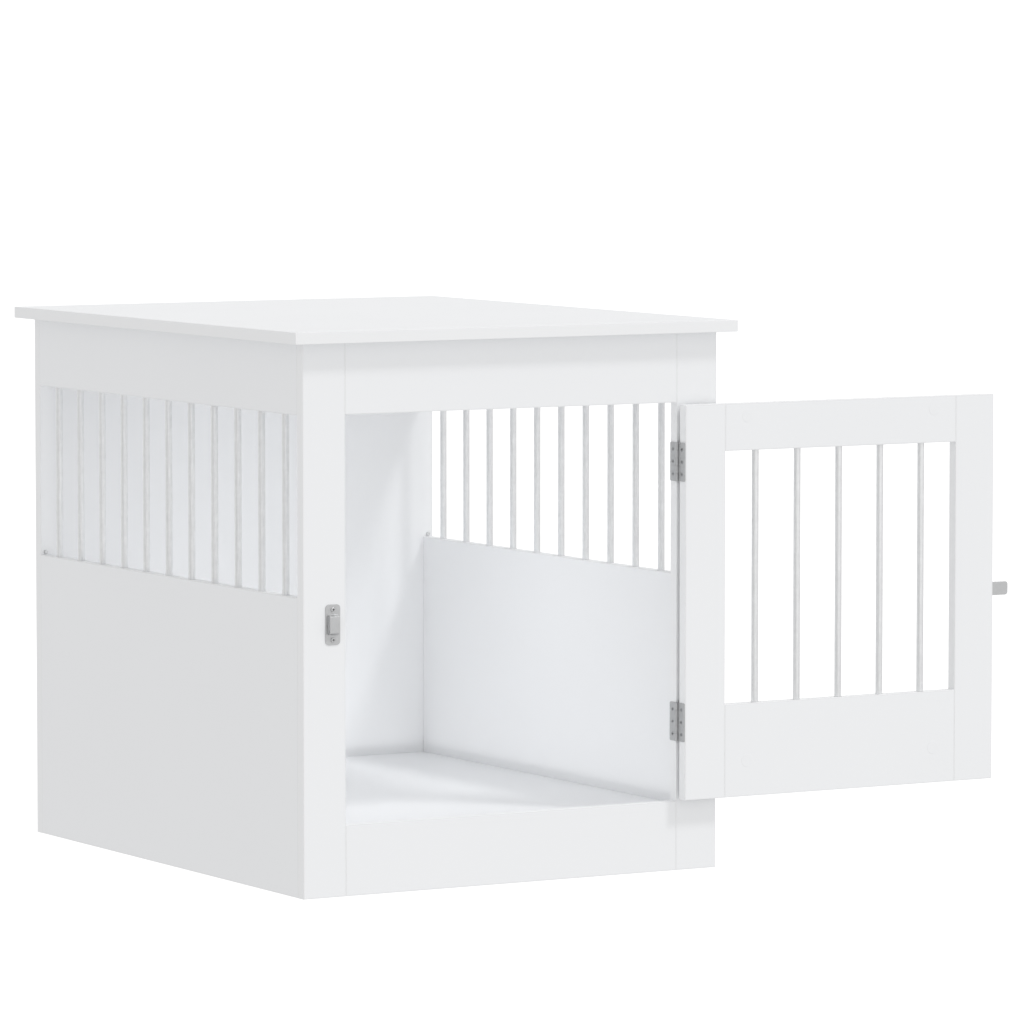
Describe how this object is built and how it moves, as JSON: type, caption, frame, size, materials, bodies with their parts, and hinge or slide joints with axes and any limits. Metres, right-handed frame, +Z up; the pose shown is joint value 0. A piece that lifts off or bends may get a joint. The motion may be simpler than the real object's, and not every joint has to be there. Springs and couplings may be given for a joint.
{
  "type": "dog crate end table",
  "caption": "Box-shaped side table that is also a dog crate: solid board cabinet with upright metal bars in the sides and in a hinged front door with a slide bolt.",
  "frame": {"origin": "on the floor, at the middle of the underside of the front bottom rail, in the middle of the rail's thickness", "axes": "+X to the right seen from the front, along the open door; +Y to the back; +Z up, out of the table top"},
  "size_m": [1.0793, 0.8, 0.71],
  "materials": {
    "laminate": "matt white laminate on particle board",
    "bar_metal": "satin light silver-grey",
    "fitting_steel": "satin bright plated steel"
  },
  "bodies": {
    "cabinet": {"floor_panel": "laminate", "front_bottom_rail": "laminate", "front_left_stile": "laminate", "front_right_stile": "laminate", "front_top_rail": "laminate", "keeper_lower_screw": "fitting_steel", "keeper_plate": "fitting_steel", "keeper_upper_screw": "fitting_steel", "left_bar_01": "bar_metal", "left_bar_02": "bar_metal", "left_bar_03": "bar_metal", "left_bar_04": "bar_metal", "left_bar_05": "bar_metal", "left_bar_06": "bar_metal", "left_bar_07": "bar_metal", "left_bar_08": "bar_metal", "left_bar_09": "bar_metal", "left_bar_10": "bar_metal", "left_bar_11": "bar_metal", "left_lower_panel": "laminate", "left_retaining_pin": "fitting_steel", "left_upper_rail": "laminate", "lower_hinge_jamb_leaf": "fitting_steel", "lower_hinge_pin": "fitting_steel", "rear_panel": "laminate", "right_bar_01": "bar_metal", "right_bar_02": "bar_metal", "right_bar_03": "bar_metal", "right_bar_04": "bar_metal", "right_bar_05": "bar_metal", "right_bar_06": "bar_metal", "right_bar_07": "bar_metal", "right_bar_08": "bar_metal", "right_bar_09": "bar_metal", "right_bar_10": "bar_metal", "right_bar_11": "bar_metal", "right_lower_panel": "laminate", "right_retaining_pin": "fitting_steel", "right_upper_rail": "laminate", "top_board": "laminate", "upper_hinge_jamb_leaf": "fitting_steel", "upper_hinge_pin": "fitting_steel"},
    "door": {"door_bar_1": "bar_metal", "door_bar_2": "bar_metal", "door_bar_3": "bar_metal", "door_bar_4": "bar_metal", "door_bar_5": "bar_metal", "door_bottom_rail": "laminate", "door_hinge_stile": "laminate", "door_latch_stile": "laminate", "door_top_rail": "laminate", "latch_back_plate": "fitting_steel", "latch_screw_1": "fitting_steel", "latch_screw_2": "fitting_steel", "latch_screw_3": "fitting_steel", "latch_screw_4": "fitting_steel", "lower_hinge_door_leaf": "fitting_steel", "upper_hinge_door_leaf": "fitting_steel"},
    "bolt": {"latch_bolt": "fitting_steel", "latch_knob": "fitting_steel"}
  },
  "joints": [
    {"name": "door_hinge", "type": "hinge", "parent": "cabinet", "child": "door", "pos_m": [0.2414, -0.0098, 0.3475], "axis": [0, 0, 1], "range_deg": [-180, 0]},
    {"name": "bolt_slide", "type": "slide", "parent": "door", "child": "bolt", "axis": [1, 0, 0], "range_m": [-0.036, 0]}
  ]
}
